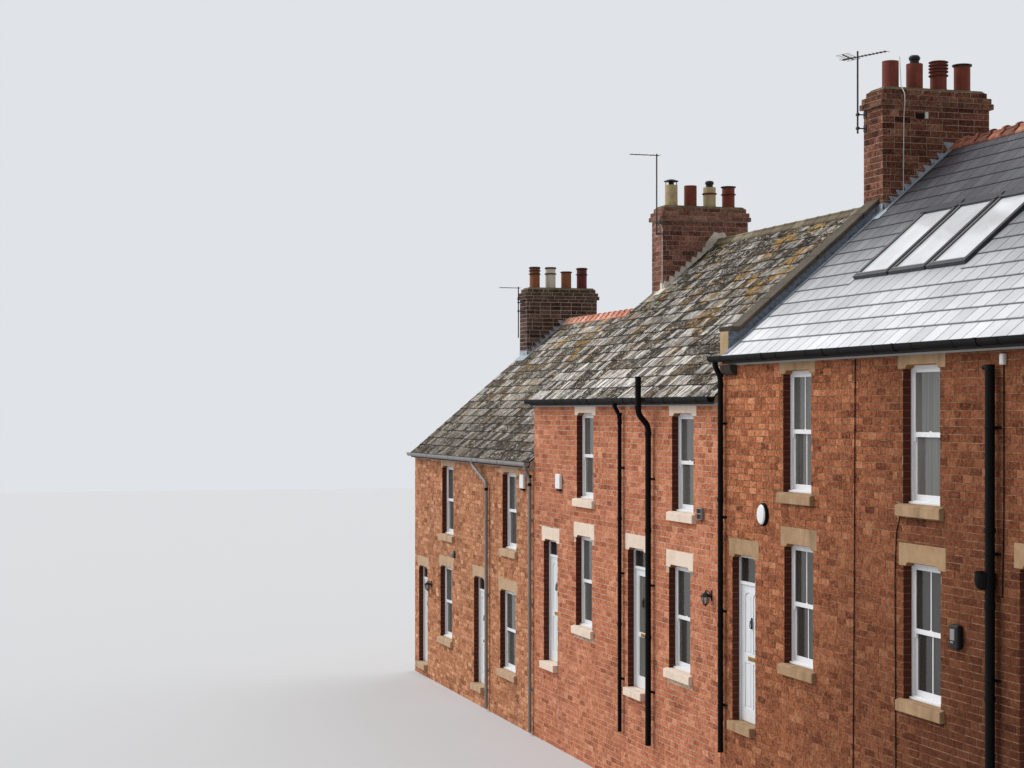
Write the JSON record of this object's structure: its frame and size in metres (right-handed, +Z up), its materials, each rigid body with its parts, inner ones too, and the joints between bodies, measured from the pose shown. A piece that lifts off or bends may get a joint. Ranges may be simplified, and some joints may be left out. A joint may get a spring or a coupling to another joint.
{
  "type": "terraced house row",
  "caption": "Stepped row of brick terraced houses with slate roofs, chimney stacks, stone lintels and opening front doors.",
  "frame": {"origin": "under the middle of the row, at the lowest ground level", "axes": "+X uphill along the street, +Y from the street into the houses, +Z up"},
  "size_m": [28.28, 7.9343, 11.84],
  "materials": {
    "aerial_metal": "dull aerial rods and mast",
    "black_metal": "black painted lamps and letter box",
    "black_plastic": "black rainwater goods",
    "brick_high": "mottled orange-red brick with brown and light orange headers",
    "brick_low": "weathered brownish-orange brick with grey mortar",
    "brick_mid": "salmon-red brick with pale mortar",
    "brick_stack": "dark red sooted brick",
    "coping_stone": "brownish weathered sandstone",
    "fascia_paint": "pale grey painted board",
    "floor_boards": "sawn boards",
    "grey_plastic": "grey rainwater goods",
    "lead": "grey lead sheet",
    "ridge_clay": "red clay ridge tiles",
    "rooflight_metal": "dark grey coated metal",
    "sandstone": "buff sandstone",
    "slate_high": "smooth light-grey slates",
    "slate_low": "weathered dark grey-brown slates with lichen",
    "slate_mid": "old brown-grey slates with moss and orange lichen",
    "terracotta": "red clay, some cream clay",
    "white_paint": "white panelled door skins",
    "white_plastic": "white plastic frames",
    "window_glass": "clear double glazing"
  },
  "bodies": {
    "row": {"aerials": "aerial_metal", "alarm_boxes": "white_plastic", "attic_floors": "floor_boards", "back_doors": "white_paint", "back_wall_high": "brick_high", "back_wall_low": "brick_low", "back_wall_mid": "brick_mid", "black_downpipes": "black_plastic", "chimney_pots": "terracotta", "chimney_stack_high_end": "brick_stack", "chimney_stack_low_end": "brick_stack", "chimney_stack_low_mid": "brick_stack", "chimney_stack_mid_high": "brick_stack", "coping": "coping_stone", "door_frames": "white_paint", "door_lights": "window_glass", "door_steps": "sandstone", "doorway_bases": "brick_mid", "end_wall_left": "brick_low", "end_wall_right": "brick_high", "fascias": "fascia_paint", "flashings": "lead", "front_door_6": "white_paint", "front_piers_high": "brick_high", "front_piers_low": "brick_low", "front_piers_mid": "brick_mid", "front_upper_wall_high": "brick_high", "front_upper_wall_low": "brick_low", "front_upper_wall_mid": "brick_mid", "grey_downpipes": "grey_plastic", "ground_floors": "floor_boards", "gutters": "black_plastic", "gutters_grey": "grey_plastic", "parapet": "brick_high", "party_walls": "brick_mid", "ridge_tiles": "ridge_clay", "roof_back_high": "slate_high", "roof_back_low": "slate_low", "roof_back_mid": "slate_mid", "roof_front_high": "slate_high", "roof_front_low": "slate_low", "roof_front_mid": "slate_mid", "rooflight_frames": "rooflight_metal", "rooflight_glass": "window_glass", "soil_pipes": "black_plastic", "stone_lintels": "sandstone", "stone_sills": "sandstone", "upper_floors": "floor_boards", "wall_fittings": "black_metal", "window_frames_back": "white_plastic", "window_frames_front": "white_plastic", "window_glass_back": "window_glass", "window_glass_front": "window_glass"},
    "door_1": {"front_door_1": "white_paint"},
    "door_2": {"front_door_2": "white_paint"},
    "door_3": {"front_door_3": "white_paint"},
    "door_4": {"front_door_4": "white_paint"},
    "door_5": {"front_door_5": "white_paint"}
  },
  "joints": [
    {"name": "door_hinge_1", "type": "hinge", "parent": "row", "child": "door_1", "pos_m": [-13.6595, -3.511, 1.29], "axis": [0, 0, 1], "range_deg": [0, 90]},
    {"name": "door_hinge_2", "type": "hinge", "parent": "row", "child": "door_2", "pos_m": [-8.7595, -3.511, 1.443], "axis": [0, 0, 1], "range_deg": [0, 90]},
    {"name": "door_hinge_3", "type": "hinge", "parent": "row", "child": "door_3", "pos_m": [-3.8195, -3.511, 2.55], "axis": [0, 0, 1], "range_deg": [0, 90]},
    {"name": "door_hinge_4", "type": "hinge", "parent": "row", "child": "door_4", "pos_m": [0.8005, -3.511, 2.69], "axis": [0, 0, 1], "range_deg": [0, 90]},
    {"name": "door_hinge_5", "type": "hinge", "parent": "row", "child": "door_5", "pos_m": [5.1755, -3.511, 2.815], "axis": [0, 0, 1], "range_deg": [0, 90]}
  ]
}
